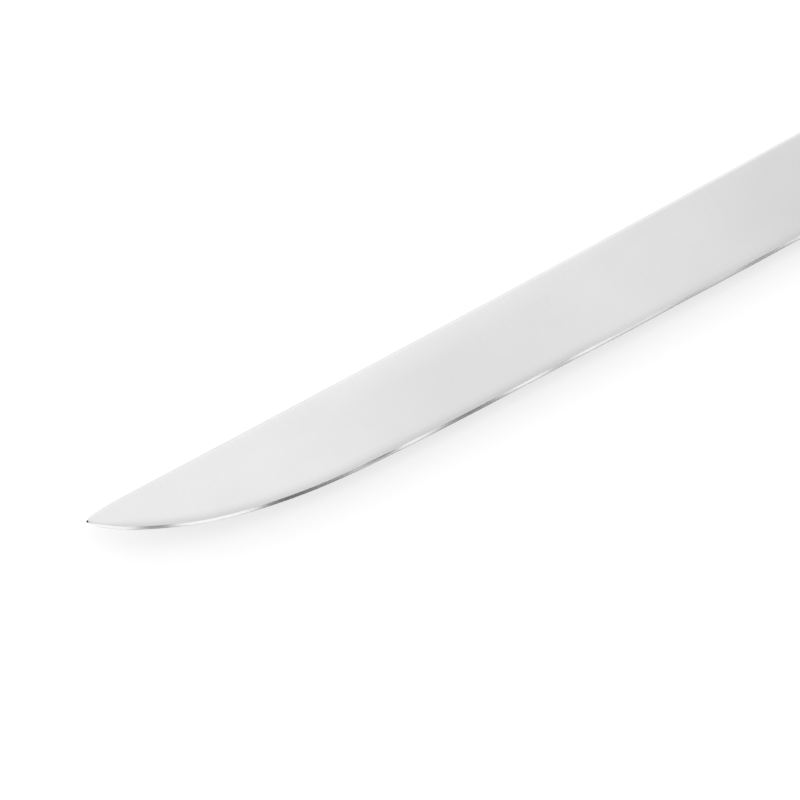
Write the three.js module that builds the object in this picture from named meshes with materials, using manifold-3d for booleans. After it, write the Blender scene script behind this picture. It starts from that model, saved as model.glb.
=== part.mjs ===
// Fillet knife: a flexible ground blade with a full tang, two pinned bolster halves, two handle scales
// and three two-piece compression rivets. Millimetres, +Z up, lying on its right side.
// The blade points along -X with its edge towards -Y. The origin is under the middle of the knife.
import * as THREE from "three";
import { mergeVertices } from "three/addons/utils/BufferGeometryUtils.js";
import Module from "manifold-3d";

// Blade, measured from the bolster's front face and down from the spine
const BLADE_LENGTH = 200;
const HEEL_HEIGHT = 23.9;
const BELLY_HEIGHT = 21.7;
const BELLY_LENGTH = 74;
const SPINE_SAG = 0.6;
const TIP_DROOP = 0.72;
const TIP_DROOP_LENGTH = 8;
const TIP_ROUND = 0.75;
const TIP_ANGLE = 44.8;
const TIP_PULL = 24.9;
const BELLY_PULL = 22;
const CHOIL_LENGTH = 3.4;

// Blade cross-section, ground from the tang's stock. Near the tip its bevels shrink with its height.
const TANG_THICKNESS = 2.2;
const GRIND_DEPTH = 0.1;
const SPINE_THICKNESS_TIP = 1.1;
const SPINE_ROLL = 0.75;
const SPINE_EASE = 0.22;
const EDGE_THICKNESS = 0.46;
const BEVEL_WIDTH = 0.65;
const TIP_BLEND = 3;

// Handle, seen from the side: heights above and below its long axis
const HANDLE_LENGTH = 120;
const HANDLE_THICKNESS = 17;
const SPINE_ABOVE_AXIS = 10.4;
const CROWN_ABOVE_AXIS = 11.4;
const CROWN_FROM_FRONT = 40;
const DIP_ABOVE_AXIS = 8.6;
const DIP_FROM_BUTT = 30;
const HEAD_ABOVE_AXIS = 9.6;
const HEAD_FROM_BUTT = 12;
const GUARD_BELOW_AXIS = 14.2;
const GUARD_FROM_FRONT = 7;
const GUARD_CORNER = 3.2;
const GUARD_FACE = 0.6;
const GROOVE_BELOW_AXIS = 10.4;
const GROOVE_FROM_FRONT = 25;
const PALM_BELOW_AXIS = 13.6;
const PALM_FROM_FRONT = 61;
const WAIST_BELOW_AXIS = 11.4;
const WAIST_FROM_BUTT = 29;
const BEAK_BELOW_AXIS = 15.4;
const BEAK_FROM_BUTT = 11;
const EDGE_ROUND_IN = 4.8;
const EDGE_ROUND_DEEP = 4.6;

// Bolster halves and the pins that hold them
const BOLSTER_LENGTH = 19;
const BOLSTER_LIP = 0.9;
const COVE_LENGTH = 10.5;
const PIN_DIAMETER = 3;
const PIN_SPREAD = 10;
const SCALE_SEAM = 0.1;

// Rivets, each a solid stud pressed into a hollow socket
const RIVET_HEAD_DIAMETER = 7.6;
const RIVET_HEAD_HEIGHT = 1.6;
const SOCKET_DIAMETER = 5;
const STUD_DIAMETER = 3.2;
const STUD_END_GAP = 0.6;
const SOCKET_END_GAP = 0.3;
const SOCKET_FLOOR = 1.2;
const FRONT_RIVET_FROM_BOLSTER = 14;
const REAR_RIVET_FROM_BUTT = 25;
const FIT_CLEARANCE = 0.05;

// Fineness of the facets. An odd count on the curves keeps facet corners off the turn of each S.
const BELLY_STATIONS = 30;
const EDGE_STATIONS = 14;
const SPINE_SEGMENTS = 3;
const CURVE_SEGMENTS = 13;
const ROUND_SEGMENTS = 6;
const HOLE_SEGMENTS = 28;
const COVE_SEGMENTS = 48;
const WELD = 1e-4;

const TANG_HALF = TANG_THICKNESS / 2;
const HANDLE_HALF = HANDLE_THICKNESS / 2;
const SPINE_THICKNESS_HEEL = TANG_THICKNESS - 2 * GRIND_DEPTH;
// Longer than any piece of the handle, for blocks that cut right through it
const REACH = HANDLE_LENGTH * 2;

const wasm = await Module();
wasm.setup();

// A closed geometry as a solid that can be joined and cut.
function solidOf(geometry) {
  const bare = new THREE.BufferGeometry();
  bare.setAttribute("position", geometry.getAttribute("position"));
  bare.setIndex(geometry.index);
  const welded = mergeVertices(bare, WELD);
  const mesh = new wasm.Mesh({
    numProp: 3,
    vertProperties: welded.getAttribute("position").array,
    triVerts: new Uint32Array(welded.index.array),
  });
  return new wasm.Manifold(mesh);
}

// A solid back as a geometry with flat facets.
function geometryOf(solid) {
  const mesh = solid.getMesh();
  const geometry = new THREE.BufferGeometry();
  geometry.setAttribute("position", new THREE.BufferAttribute(mesh.vertProperties, 3));
  geometry.setIndex(new THREE.BufferAttribute(mesh.triVerts, 1));
  const faceted = geometry.toNonIndexed();
  faceted.computeVertexNormals();
  return faceted;
}

// A box between two corners, used to keep one side of a solid.
function boxBetween(low, high) {
  const size = high.clone().sub(low);
  const middle = low.clone().add(high).multiplyScalar(0.5);
  const geometry = new THREE.BoxGeometry(size.x, size.y, size.z);
  return solidOf(geometry.translate(middle.x, middle.y, middle.z));
}

// A round bar along Z, used for holes.
function barAlongZ(diameter, x, y, zLow, zHigh) {
  const geometry = new THREE.CylinderGeometry(diameter / 2, diameter / 2, zHigh - zLow, HOLE_SEGMENTS);
  return solidOf(geometry.rotateX(Math.PI / 2).translate(x, y, (zLow + zHigh) / 2));
}

// A skin through rings of points, from a single point at the tip to a flat cap at the root.
function loftFromPoint(tip, rings) {
  const count = rings[0].length;
  const points = [tip, ...rings.flat()];
  const at = (ring, i) => 1 + ring * count + (i % count);
  const index = [];
  for (let i = 0; i < count; i++) {
    index.push(0, at(0, i + 1), at(0, i));
    for (let ring = 0; ring + 1 < rings.length; ring++) {
      index.push(at(ring, i), at(ring + 1, i + 1), at(ring + 1, i));
      index.push(at(ring, i), at(ring, i + 1), at(ring + 1, i + 1));
    }
  }
  const last = rings.length - 1;
  for (let i = 1; i + 1 < count; i++) {
    index.push(at(last, 0), at(last, i), at(last, i + 1));
  }
  return new THREE.BufferGeometry().setFromPoints(points).setIndex(index);
}

// What the round nose at the tip takes off the spine and off the edge, at a distance from the tip.
function noseAt(fromTip) {
  const inRound = Math.max(0, TIP_ROUND - fromTip);
  return TIP_ROUND - Math.sqrt(TIP_ROUND ** 2 - inRound ** 2);
}

// Height of the spine at a distance from the tip: a shallow sag, with a droop into the round nose.
function spineAt(fromTip) {
  const share = fromTip / BLADE_LENGTH;
  const sag = 4 * SPINE_SAG * share * (1 - share);
  const droop = TIP_DROOP * Math.max(0, 1 - fromTip / TIP_DROOP_LENGTH) ** 2;
  return SPINE_ABOVE_AXIS - sag - droop - noseAt(fromTip);
}

// Points along the cutting edge, as distance from the tip and height: curved belly, then straight run.
function edgePoints() {
  const underNose = new THREE.Vector2(0, spineAt(0) - TIP_ROUND);
  const bellyEnd = new THREE.Vector2(BELLY_LENGTH, SPINE_ABOVE_AXIS - BELLY_HEIGHT);
  const heel = new THREE.Vector2(BLADE_LENGTH, SPINE_ABOVE_AXIS - HEEL_HEIGHT);
  const angle = THREE.MathUtils.degToRad(TIP_ANGLE);
  const leaveTip = new THREE.Vector2(Math.cos(angle), -Math.sin(angle)).multiplyScalar(TIP_PULL);
  const reachRun = heel.clone().sub(bellyEnd).setLength(BELLY_PULL);
  const belly = new THREE.CubicBezierCurve(
    underNose,
    underNose.clone().add(leaveTip),
    bellyEnd.clone().sub(reachRun),
    bellyEnd,
  );
  const points = [];
  for (let i = 1; i <= BELLY_STATIONS; i++) {
    const point = belly.getPoint((i / BELLY_STATIONS) ** 2);
    point.y += noseAt(point.x);
    points.push(point);
  }
  for (let i = 1; i <= EDGE_STATIONS; i++) {
    points.push(bellyEnd.clone().lerp(heel, i / EDGE_STATIONS));
  }
  return points;
}

// One cross-section of the blade: rolled spine, two flat ground faces, two bevels that meet at the edge.
function bladeRing(fromTip, top, edge) {
  const height = top - edge;
  const along = fromTip / BLADE_LENGTH;
  const fullSpine = THREE.MathUtils.lerp(SPINE_THICKNESS_TIP, SPINE_THICKNESS_HEEL, along);
  const ground = Math.min(1, height / BELLY_HEIGHT);
  const spine = THREE.MathUtils.lerp(EDGE_THICKNESS, fullSpine, ground) / 2;
  const shrink = Math.min(1, height / TIP_BLEND);
  const roll = SPINE_ROLL * shrink;
  const ease = Math.min(SPINE_EASE * shrink, spine / 2);
  const bevel = BEVEL_WIDTH * shrink;
  const shoulder = (EDGE_THICKNESS / 2) * shrink;
  const half = [];
  for (let i = 0; i <= SPINE_SEGMENTS; i++) {
    const angle = ((Math.PI / 2) * i) / SPINE_SEGMENTS;
    half.push([top - roll * (1 - Math.cos(angle)), spine - ease * (1 - Math.sin(angle))]);
  }
  half.push([edge + bevel, shoulder]);
  const x = fromTip - BLADE_LENGTH;
  const left = half.map(([y, z]) => new THREE.Vector3(x, y, z));
  const right = half.map(([y, z]) => new THREE.Vector3(x, y, -z)).reverse();
  return [...left, new THREE.Vector3(x, edge, 0), ...right];
}

// The hollow between the heel and the guard. It ends on the tang's front face, above the guard's corner.
function choilCutter(heelHeight) {
  const rise = GUARD_FACE + GUARD_CORNER - GUARD_BELOW_AXIS - heelHeight;
  const geometry = new THREE.CylinderGeometry(1, 1, HANDLE_THICKNESS, HOLE_SEGMENTS).rotateX(Math.PI / 2);
  geometry.scale(CHOIL_LENGTH, Math.max(rise, CHOIL_LENGTH / 2), 1);
  return solidOf(geometry.translate(0, heelHeight, 0));
}

// The ground blade, from its tip to a narrower root that is buried in the tang.
function bladeSolid() {
  const points = edgePoints();
  const rings = points.map((p) => bladeRing(p.x, spineAt(p.x), p.y));
  const heel = points[points.length - 1];
  const root = bladeRing(heel.x, SPINE_ABOVE_AXIS / 2, -SPINE_ABOVE_AXIS / 2);
  rings.push(root.map((p) => p.setX(COVE_LENGTH)));
  const tip = new THREE.Vector3(-BLADE_LENGTH, spineAt(0), 0);
  return solidOf(loftFromPoint(tip, rings)).subtract(choilCutter(heel.y));
}

// A curved outline as straight facets, without points that fall on each other.
function facetedShape(shape) {
  const points = shape.getPoints(CURVE_SEGMENTS);
  const apart = points.filter((p, i) => p.distanceTo(points[(i + 1) % points.length]) > WELD);
  return new THREE.Shape(apart);
}

// A smooth S from the pen's last place to the next hollow or swell, level at both ends.
function swellTo(shape, x, y) {
  const from = shape.currentPoint;
  const middle = (from.x + x) / 2;
  shape.bezierCurveTo(middle, from.y, middle, y, x, y);
}

// The handle seen from the side. Its round nose lies ahead of the bolster's front face and is cut away.
function handleOutline() {
  const noseMiddle = (SPINE_ABOVE_AXIS - GUARD_BELOW_AXIS) / 2;
  const noseRadius = (SPINE_ABOVE_AXIS + GUARD_BELOW_AXIS) / 2;
  const buttMiddle = (HEAD_ABOVE_AXIS - BEAK_BELOW_AXIS) / 2;
  const outline = new THREE.Shape();
  outline.moveTo(0, -GUARD_BELOW_AXIS);
  outline.lineTo(GUARD_FROM_FRONT, -GUARD_BELOW_AXIS);
  swellTo(outline, GROOVE_FROM_FRONT, -GROOVE_BELOW_AXIS);
  swellTo(outline, PALM_FROM_FRONT, -PALM_BELOW_AXIS);
  swellTo(outline, HANDLE_LENGTH - WAIST_FROM_BUTT, -WAIST_BELOW_AXIS);
  swellTo(outline, HANDLE_LENGTH - BEAK_FROM_BUTT, -BEAK_BELOW_AXIS);
  const beakHeight = buttMiddle + BEAK_BELOW_AXIS;
  const headHeight = HEAD_ABOVE_AXIS - buttMiddle;
  outline.absellipse(
    HANDLE_LENGTH - BEAK_FROM_BUTT, buttMiddle, BEAK_FROM_BUTT, beakHeight, -Math.PI / 2, 0, false, 0,
  );
  outline.absellipse(
    HANDLE_LENGTH - HEAD_FROM_BUTT, buttMiddle, HEAD_FROM_BUTT, headHeight, 0, Math.PI / 2, false, 0,
  );
  swellTo(outline, HANDLE_LENGTH - DIP_FROM_BUTT, DIP_ABOVE_AXIS);
  swellTo(outline, CROWN_FROM_FRONT, CROWN_ABOVE_AXIS);
  swellTo(outline, 0, SPINE_ABOVE_AXIS);
  outline.absarc(0, noseMiddle, noseRadius, Math.PI / 2, (Math.PI * 3) / 2, false);
  return facetedShape(outline);
}

// Half way between the top and the bottom of an outline, at a place along it.
function middleOf(outline, x) {
  const points = outline.getPoints();
  const heights = [];
  points.forEach((a, i) => {
    const b = points[(i + 1) % points.length];
    if (a.x < x !== b.x < x) {
      heights.push(THREE.MathUtils.mapLinear(x, a.x, b.x, a.y, b.y));
    }
  });
  return (Math.min(...heights) + Math.max(...heights)) / 2;
}

// The guard's lower front corner, as the material that is taken off to round it.
function guardCorner() {
  const low = -GUARD_BELOW_AXIS;
  const corner = new THREE.Shape();
  corner.moveTo(-GUARD_CORNER, low - GUARD_CORNER);
  corner.lineTo(GUARD_CORNER, low - GUARD_CORNER);
  corner.lineTo(GUARD_CORNER, low);
  corner.absarc(GUARD_CORNER, low + GUARD_CORNER, GUARD_CORNER, -Math.PI / 2, -Math.PI, true);
  corner.lineTo(-GUARD_CORNER, low + GUARD_CORNER);
  const options = { depth: HANDLE_THICKNESS * 2, bevelEnabled: false, curveSegments: CURVE_SEGMENTS };
  return solidOf(new THREE.ExtrudeGeometry(corner, options).translate(0, 0, -HANDLE_THICKNESS));
}

// The whole handle with rounded edges, before it is parted into bolsters and scales.
function handleBlank(outline) {
  const options = {
    depth: HANDLE_THICKNESS - 2 * EDGE_ROUND_DEEP,
    bevelThickness: EDGE_ROUND_DEEP,
    bevelSize: EDGE_ROUND_IN,
    bevelOffset: -EDGE_ROUND_IN,
    bevelSegments: ROUND_SEGMENTS,
  };
  const geometry = new THREE.ExtrudeGeometry(outline, options);
  return solidOf(geometry.translate(0, 0, EDGE_ROUND_DEEP - HANDLE_HALF));
}

// The tang: the handle's outline in flat stock, from the bolster's front face to the butt.
function tangSolid(outline) {
  const options = { depth: TANG_THICKNESS, bevelEnabled: false };
  const flat = solidOf(new THREE.ExtrudeGeometry(outline, options).translate(0, 0, -TANG_HALF));
  return flat.intersect(keepBetween(0, REACH, -HANDLE_HALF, HANDLE_HALF));
}

// A block that keeps what lies between two places along the knife and two heights.
function keepBetween(xLow, xHigh, zLow, zHigh) {
  return boxBetween(new THREE.Vector3(xLow, -REACH, zLow), new THREE.Vector3(xHigh, REACH, zHigh));
}

// The hollow that sweeps the bolster's front down to a thin lip on the blade, for one side (1 or -1).
function coveCutter(side) {
  const depth = HANDLE_HALF - TANG_HALF - BOLSTER_LIP;
  const geometry = new THREE.CylinderGeometry(1, 1, REACH, COVE_SEGMENTS);
  geometry.scale(COVE_LENGTH, 1, depth).translate(0, 0, side * HANDLE_HALF);
  return solidOf(geometry);
}

// What is kept of the handle blank on one side of the tang.
function sideOf(blank, side, xLow, xHigh) {
  const zLow = side > 0 ? TANG_HALF : -HANDLE_THICKNESS;
  const zHigh = side > 0 ? HANDLE_THICKNESS : -TANG_HALF;
  return blank.intersect(keepBetween(xLow, xHigh, zLow, zHigh));
}

// The stepped hole for a rivet through everything it clamps: a clear shank hole and a seat for each head.
function rivetHole(x, y) {
  const seat = HANDLE_HALF - RIVET_HEAD_HEIGHT;
  const headHole = RIVET_HEAD_DIAMETER + 2 * FIT_CLEARANCE;
  const shankHole = SOCKET_DIAMETER + 2 * FIT_CLEARANCE;
  return barAlongZ(shankHole, x, y, -HANDLE_THICKNESS, HANDLE_THICKNESS)
    .add(barAlongZ(headHole, x, y, seat, HANDLE_THICKNESS))
    .add(barAlongZ(headHole, x, y, -HANDLE_THICKNESS, -seat));
}

// A round piece about a vertical axis from its half profile.
function turned(profile, x, y) {
  const points = profile.map(([radius, z]) => new THREE.Vector2(radius, z));
  return new THREE.LatheGeometry(points, HOLE_SEGMENTS).rotateX(Math.PI / 2).translate(x, y, 0);
}

// The rivet's solid half: its head lies flush with the left scale, its shank goes down into the socket.
function rivetStud(x, y) {
  const seat = HANDLE_HALF - RIVET_HEAD_HEIGHT;
  const shankEnd = -seat + SOCKET_FLOOR + STUD_END_GAP;
  const profile = [
    [0, shankEnd],
    [STUD_DIAMETER / 2, shankEnd],
    [STUD_DIAMETER / 2, seat],
    [RIVET_HEAD_DIAMETER / 2, seat],
    [RIVET_HEAD_DIAMETER / 2, HANDLE_HALF],
    [0, HANDLE_HALF],
  ];
  return turned(profile, x, y);
}

// The rivet's hollow half: its head lies flush with the right scale, its sleeve passes through the tang.
function rivetSocket(x, y) {
  const seat = HANDLE_HALF - RIVET_HEAD_HEIGHT;
  const bore = STUD_DIAMETER / 2 + FIT_CLEARANCE;
  const profile = [
    [0, -HANDLE_HALF],
    [RIVET_HEAD_DIAMETER / 2, -HANDLE_HALF],
    [RIVET_HEAD_DIAMETER / 2, -seat],
    [SOCKET_DIAMETER / 2, -seat],
    [SOCKET_DIAMETER / 2, seat - SOCKET_END_GAP],
    [bore, seat - SOCKET_END_GAP],
    [bore, -seat + SOCKET_FLOOR],
    [0, -seat + SOCKET_FLOOR],
  ];
  return turned(profile, x, y);
}

// A plain pin that holds the bolster halves to the tang, dressed flush on both sides.
function bolsterPin(x, y) {
  const radius = PIN_DIAMETER / 2;
  const geometry = new THREE.CylinderGeometry(radius, radius, HANDLE_THICKNESS, HOLE_SEGMENTS);
  return geometry.rotateX(Math.PI / 2).translate(x, y, 0);
}

const SATIN_STEEL = { color: 0xd6d8da, roughness: 0.32, metalness: 1 };
const BOLSTER_STEEL = { color: 0xc9ccce, roughness: 0.28, metalness: 1 };
const RIVET_STEEL = { color: 0xcfd1d2, roughness: 0.25, metalness: 1 };
const BLACK_PLASTIC = { color: 0x17181a, roughness: 0.48, metalness: 0 };

const knife = new THREE.Group();

function addPiece(name, geometry, look) {
  const mesh = new THREE.Mesh(geometry, new THREE.MeshStandardMaterial(look));
  mesh.name = name;
  knife.add(mesh);
}

const outline = handleOutline();
const blank = handleBlank(outline);
const corner = guardCorner();

const firstRivet = BOLSTER_LENGTH + FRONT_RIVET_FROM_BOLSTER;
const lastRivet = HANDLE_LENGTH - REAR_RIVET_FROM_BUTT;
const rivets = [
  { name: "front", x: firstRivet },
  { name: "middle", x: (firstRivet + lastRivet) / 2 },
  { name: "rear", x: lastRivet },
].map((rivet) => ({ ...rivet, y: middleOf(outline, rivet.x) }));
const rivetHoles = rivets.map(({ x, y }) => rivetHole(x, y)).reduce((all, hole) => all.add(hole));

const pinX = (COVE_LENGTH + BOLSTER_LENGTH) / 2;
const pinMiddle = middleOf(outline, pinX);
const pins = [
  { name: "upper", y: pinMiddle + PIN_SPREAD / 2 },
  { name: "lower", y: pinMiddle - PIN_SPREAD / 2 },
];
const pinHoles = pins
  .map(({ y }) => barAlongZ(PIN_DIAMETER + 2 * FIT_CLEARANCE, pinX, y, -HANDLE_THICKNESS, HANDLE_THICKNESS))
  .reduce((all, hole) => all.add(hole));

const tang = tangSolid(outline).subtract(corner);
const blade = bladeSolid().add(tang).subtract(rivetHoles).subtract(pinHoles);
addPiece("blade", geometryOf(blade), SATIN_STEEL);

for (const [name, side] of [["left", 1], ["right", -1]]) {
  const bolster = sideOf(blank, side, 0, BOLSTER_LENGTH)
    .subtract(coveCutter(side))
    .subtract(corner)
    .subtract(pinHoles);
  addPiece(`${name}_bolster`, geometryOf(bolster), BOLSTER_STEEL);
  const scale = sideOf(blank, side, BOLSTER_LENGTH + SCALE_SEAM, REACH).subtract(rivetHoles);
  addPiece(`${name}_scale`, geometryOf(scale), BLACK_PLASTIC);
}

for (const { name, x, y } of rivets) {
  addPiece(`${name}_rivet_stud`, rivetStud(x, y), RIVET_STEEL);
  addPiece(`${name}_rivet_socket`, rivetSocket(x, y), RIVET_STEEL);
}

for (const { name, y } of pins) {
  addPiece(`${name}_bolster_pin`, bolsterPin(pinX, y), BOLSTER_STEEL);
}

// The knife is set down on its right side, with the origin under the middle of its length and width.
const extent = new THREE.Box3().setFromObject(knife);
const middle = extent.getCenter(new THREE.Vector3());
knife.position.set(-middle.x, -middle.y, -extent.min.z);

export default knife;
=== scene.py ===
import math

import bmesh
import bpy
import numpy as np
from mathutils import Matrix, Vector


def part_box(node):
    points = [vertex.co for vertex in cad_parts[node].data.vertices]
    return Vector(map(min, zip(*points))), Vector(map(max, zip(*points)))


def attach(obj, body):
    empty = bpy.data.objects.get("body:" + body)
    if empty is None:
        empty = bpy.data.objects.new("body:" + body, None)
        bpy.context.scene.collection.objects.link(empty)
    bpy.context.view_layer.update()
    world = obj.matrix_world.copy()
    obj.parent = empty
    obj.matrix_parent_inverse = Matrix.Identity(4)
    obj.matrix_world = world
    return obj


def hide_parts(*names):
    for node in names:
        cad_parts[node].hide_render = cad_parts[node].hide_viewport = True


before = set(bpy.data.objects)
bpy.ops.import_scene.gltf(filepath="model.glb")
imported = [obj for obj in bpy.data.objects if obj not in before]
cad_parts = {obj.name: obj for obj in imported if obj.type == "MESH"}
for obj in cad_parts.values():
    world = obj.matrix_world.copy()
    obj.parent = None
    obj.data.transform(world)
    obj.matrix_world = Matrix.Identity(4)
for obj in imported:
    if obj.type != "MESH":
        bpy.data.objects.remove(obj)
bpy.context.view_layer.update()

MM = 0.001

# Blade outline, below the spine and behind the tip
HEEL_HEIGHT = 23.9 * MM
BELLY_HEIGHT = 21.7 * MM
BELLY_LENGTH = 74 * MM
SPINE_SAG = 0.6 * MM
TIP_DROOP = 0.72 * MM
TIP_DROOP_LENGTH = 8 * MM
TIP_ROUND = 0.75 * MM
TIP_ANGLE = math.radians(44.8)
TIP_PULL = 24.9 * MM
BELLY_PULL = 22 * MM
CHOIL_LENGTH = 3.4 * MM

# Blade cross-section
GRIND_DEPTH = 0.1 * MM
SPINE_THICKNESS_TIP = 1.1 * MM
SPINE_ROLL = 0.75 * MM
SPINE_EASE = 0.22 * MM
EDGE_THICKNESS = 0.46 * MM
BEVEL_WIDTH = 0.65 * MM
APEX_WIDTH = 0.025 * MM
APEX_TILT = math.radians(24)
ROLL_WIDTH = 1.5 * MM
ROLL_TURN = math.radians(10)
LEAST_FACE_SHARE = 0.05

# Heights of the blade below which parts of its section shrink towards the tip
TIP_BLEND = 3 * MM
NOSE_BLEND = 2.5 * MM
BEVEL_BLEND = 2 * MM
ROLL_BLEND = 4.5 * MM
NOSE_BEVEL_SHARE = 0.45
NOSE_BEVEL_LENGTH = 1.5 * MM

# The speck of burr at the very point, and the painted dark reflection on it
BURR_LENGTH = 0.27 * MM
BURR_CORE = 0.2 * MM
BURR_REACH = 0.36 * MM
BURR_RISE = 0.31 * MM
TIP_SHADE_FORWARD = 0.06 * MM
TIP_SHADE_FADE = (0.25 * MM, 0.33 * MM)

# The blade's root inside the tang, as shares of the section at the heel
ROOT_HEIGHT = 0.5
ROOT_THICKNESS = 0.8

# The hand-stoned bevel: its tilt from the flat, and where the stone bore down and left it steeper.
# Each of these places has its middle behind the tip and its half length in millimetres, and the
# degrees added there at the bevel's shoulder and at the edge.
SHOULDER_TILT = 15.2
EDGE_TILTS = (15.5, 18.4)
EDGE_TILT_CHANGES = (57 * MM, 69 * MM)
BEVEL_FACETS = (
    (11, 9, 6.6, 5.4),
    (38.5, 14.5, 7.4, 7.6),
    (51, 10, 4.6, 3.8),
    (59.5, 7.5, 6, 2.6),
    (80.3, 16.5, 6.5, 2.1),
    (102.5, 8, 4, 0.6),
    (121, 14, 2.6, 0.3),
    (137, 15, 3.8, 1),
    (155, 16, 4.9, 1.2),
    (186, 12, 4, 1),
)
RIGHT_BEVEL_SHIFT = 13 * MM

# Where honing has worn the edge off its smooth curve: the middle behind the tip, the half length, and
# how far the edge lies above the curve, in millimetres
EDGE_WAVES = (
    (12.5, 9, 0.18),
    (63, 22, 0.21),
    (119, 15, -0.12),
    (168, 18, 0.17),
)

# Handle outline, above and below its long axis
SPINE_ABOVE_AXIS = 10.4 * MM
CROWN_ABOVE_AXIS = 11.4 * MM
CROWN_FROM_FRONT = 40 * MM
DIP_ABOVE_AXIS = 8.6 * MM
DIP_FROM_BUTT = 30 * MM
HEAD_ABOVE_AXIS = 9.6 * MM
HEAD_FROM_BUTT = 12 * MM
GUARD_BELOW_AXIS = 14.2 * MM
GUARD_FROM_FRONT = 7 * MM
GUARD_CORNER = 3.2 * MM
GUARD_FACE = 0.6 * MM
GROOVE_BELOW_AXIS = 10.4 * MM
GROOVE_FROM_FRONT = 25 * MM
PALM_BELOW_AXIS = 13.6 * MM
PALM_FROM_FRONT = 61 * MM
WAIST_BELOW_AXIS = 11.4 * MM
WAIST_FROM_BUTT = 29 * MM
BEAK_BELOW_AXIS = 15.4 * MM
BEAK_FROM_BUTT = 11 * MM
EDGE_ROUND_IN = 4.8 * MM
EDGE_ROUND_DEEP = 4.6 * MM
FLAT_RIM_SHARE = 1.15

# Bolsters, pins and rivets
BOLSTER_LIP = 0.9 * MM
COVE_LENGTH = 10.5 * MM
PIN_DIAMETER = 3 * MM
RIVET_HEAD_DIAMETER = 7.6 * MM
RIVET_HEAD_HEIGHT = 1.6 * MM
SOCKET_DIAMETER = 5 * MM
STUD_DIAMETER = 3.2 * MM
STUD_END_GAP = 0.6 * MM
SOCKET_END_GAP = 0.3 * MM
SOCKET_FLOOR = 1.2 * MM
FIT_CLEARANCE = 0.05 * MM
EDGE_BREAK = 0.12 * MM
HEAD_BREAK = 0.18 * MM
HEAD_BREAK_STEPS = 4
HEAD_RINGS = (0.92, 0.7, 0.4)
PIN_RING = 0.6
BREAK_SEGMENTS = 2
BREAK_ANGLE = math.radians(40)

# Fineness of the meshes
BLADE_STATIONS = 420
STATION_CROWDING = 1.4
BELLY_POINTS = 600
CHOIL_STATIONS = 20
SWELL_POINTS = 40
ROUND_RINGS = 14
TURN_SEGMENTS = 96
COVE_SEGMENTS = 240
SHARP_ANGLE = math.radians(32)
CUT_TOLERANCE = 1e-8

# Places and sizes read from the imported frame
blade_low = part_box("blade")[0]
bolster_low, bolster_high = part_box("left_bolster")
scale_low, scale_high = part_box("left_scale")
right_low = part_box("right_scale")[0]
MID_Z = (right_low.z + scale_high.z) / 2
TANG_HALF = bolster_low.z - MID_Z
HANDLE_HALF = scale_high.z - MID_Z
BLADE_LENGTH = bolster_low.x - blade_low.x
HANDLE_LENGTH = scale_high.x - bolster_low.x
BOLSTER_LENGTH = bolster_high.x - bolster_low.x
SCALE_FRONT = scale_low.x - bolster_low.x
SPINE_THICKNESS_HEEL = 2 * (TANG_HALF - GRIND_DEPTH)

# Every piece is built about the middle of the bolster's front, on the handle's axis
ORIGIN = Vector((bolster_low.x, scale_high.y - CROWN_ABOVE_AXIS, MID_Z))
REACH = 2 * HANDLE_LENGTH


def middle_of(node):
    """The middle of a CAD node seen from the side, from the pieces' origin."""
    low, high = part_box(node)
    return (low.x + high.x) / 2 - ORIGIN.x, (low.y + high.y) / 2 - ORIGIN.y


rivet_places = {name: middle_of(f"{name}_rivet_stud") for name in ("front", "middle", "rear")}
pin_places = {name: middle_of(f"{name}_bolster_pin") for name in ("upper", "lower")}


# Meshes

def mesh_from(name, points, faces):
    mesh = bpy.data.meshes.new(name)
    mesh.from_pydata([tuple(p) for p in points], [], faces)
    mesh.update()
    return mesh


def bezier(p0, p1, p2, p3, count):
    t = np.linspace(0, 1, count + 1)[:, None]
    p0, p1, p2, p3 = (np.array(p) for p in (p0, p1, p2, p3))
    return (1 - t) ** 3 * p0 + 3 * (1 - t) ** 2 * t * p1 + 3 * (1 - t) * t * t * p2 + t ** 3 * p3


def turned_mesh(name, profile, segments=TURN_SEGMENTS):
    """A closed round mesh about Z from a half profile that starts and ends on the axis."""
    points = [(0, 0, profile[0][1])]
    for radius, z in profile[1:-1]:
        for i in range(segments):
            angle = 2 * math.pi * i / segments
            points.append((radius * math.cos(angle), radius * math.sin(angle), z))
    points.append((0, 0, profile[-1][1]))
    rings = len(profile) - 2
    last = len(points) - 1
    faces = []
    for i in range(segments):
        j = (i + 1) % segments
        faces.append((0, 1 + j, 1 + i))
        for ring in range(rings - 1):
            low = 1 + ring * segments
            high = low + segments
            faces.append((low + i, low + j, high + j, high + i))
        top = 1 + (rings - 1) * segments
        faces.append((top + i, top + j, last))
    mesh = mesh_from(name, points, faces)
    face_outwards(mesh)
    return mesh


def prism_mesh(name, outline, z_low, z_high):
    """A closed straight-sided mesh over an outline in the XY plane."""
    count = len(outline)
    points = [(x, y, z_low) for x, y in outline] + [(x, y, z_high) for x, y in outline]
    faces = [tuple(reversed(range(count))), tuple(range(count, 2 * count))]
    for i in range(count):
        j = (i + 1) % count
        faces.append((i, j, count + j, count + i))
    mesh = mesh_from(name, points, faces)
    face_outwards(mesh)
    return mesh


def face_outwards(mesh):
    bm = bmesh.new()
    bm.from_mesh(mesh)
    bmesh.ops.recalc_face_normals(bm, faces=bm.faces)
    bm.to_mesh(mesh)
    bm.free()


def moved(mesh, x, y):
    for v in mesh.vertices:
        v.co.x += x
        v.co.y += y
    return mesh


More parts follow.
